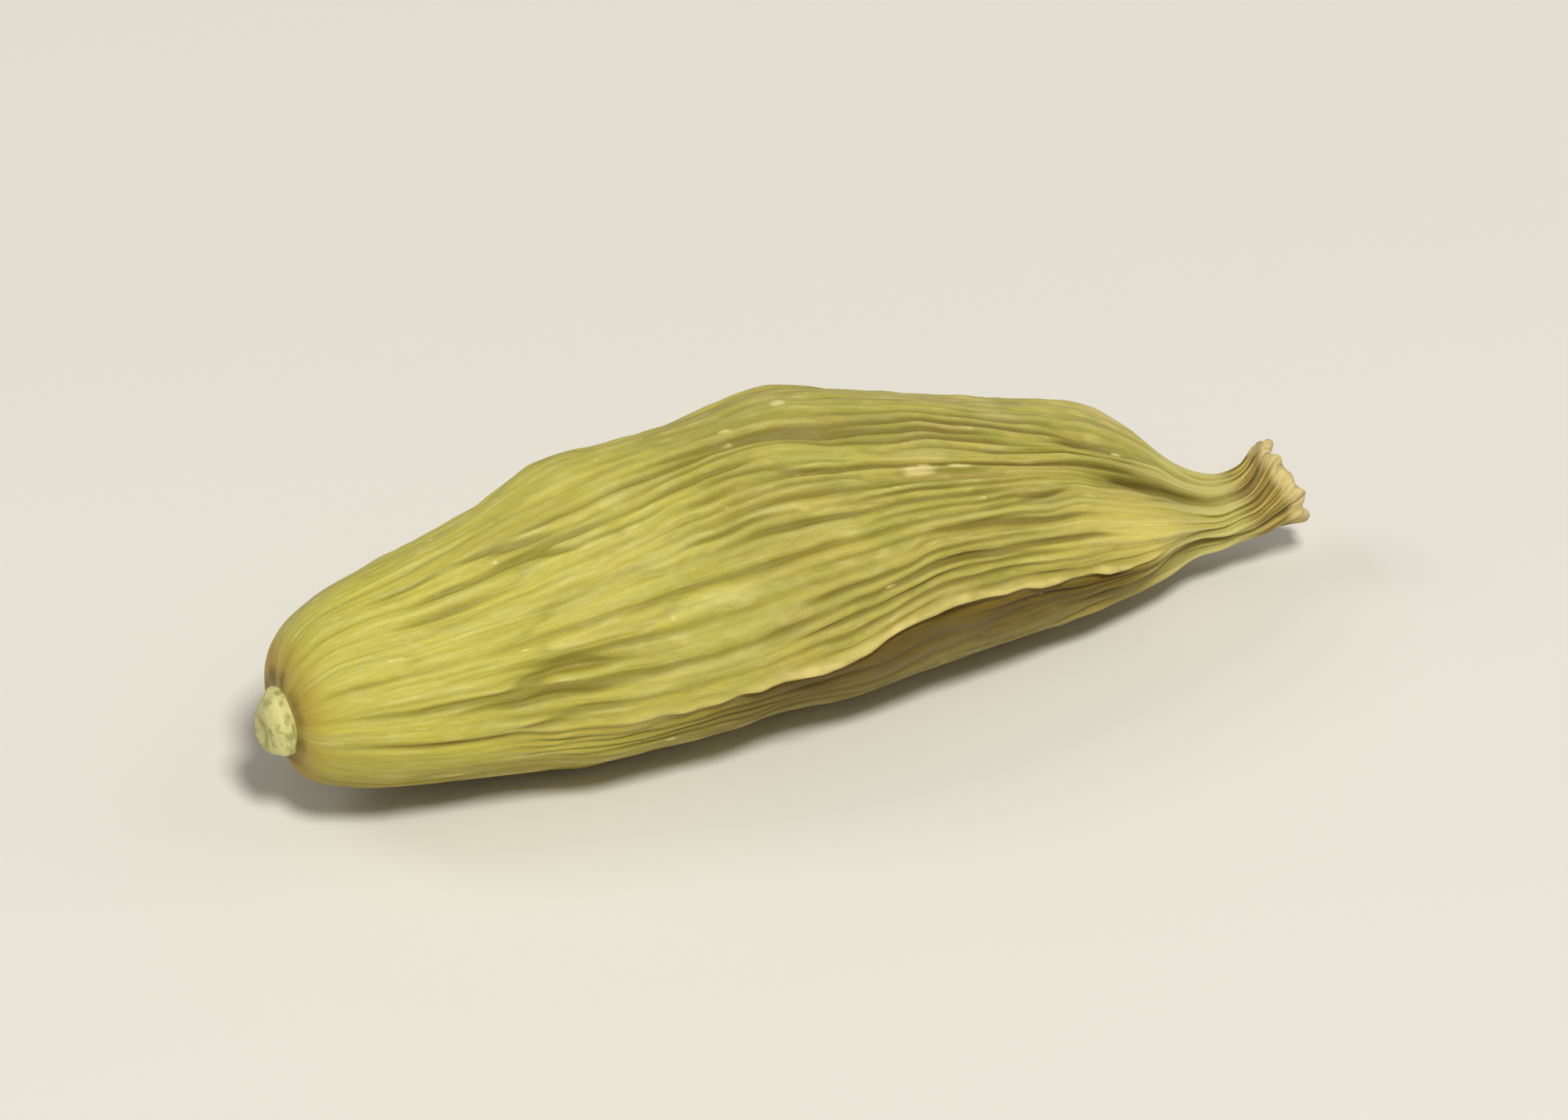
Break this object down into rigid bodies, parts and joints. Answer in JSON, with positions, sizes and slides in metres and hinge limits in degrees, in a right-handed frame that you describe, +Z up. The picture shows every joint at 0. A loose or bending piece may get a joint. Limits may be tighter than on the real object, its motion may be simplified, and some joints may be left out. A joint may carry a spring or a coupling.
{
  "type": "green cardamom pod",
  "caption": "Dried green cardamom pod lying on its side: rounded three-sided ribbed husk with a pale nub at the blunt end and a pleated neck ending in an open dry stub.",
  "frame": {"origin": "bottom centre of the pod's bounding box, on the surface it lies on", "axes": "+X along the pod, from the nub at its blunt end to the stub at its neck; +Z up, away from the resting spot; +Y to the pod's back, so -Y is the side with the clearest seam"},
  "size_m": [0.0218, 0.006, 0.0058],
  "materials": {
    "husk": "matte dried plant husk, yellow-green, ribbed, with pale ridges"
  },
  "bodies": {
    "root": {"cardamom_pod": "husk"}
  },
  "joints": []
}
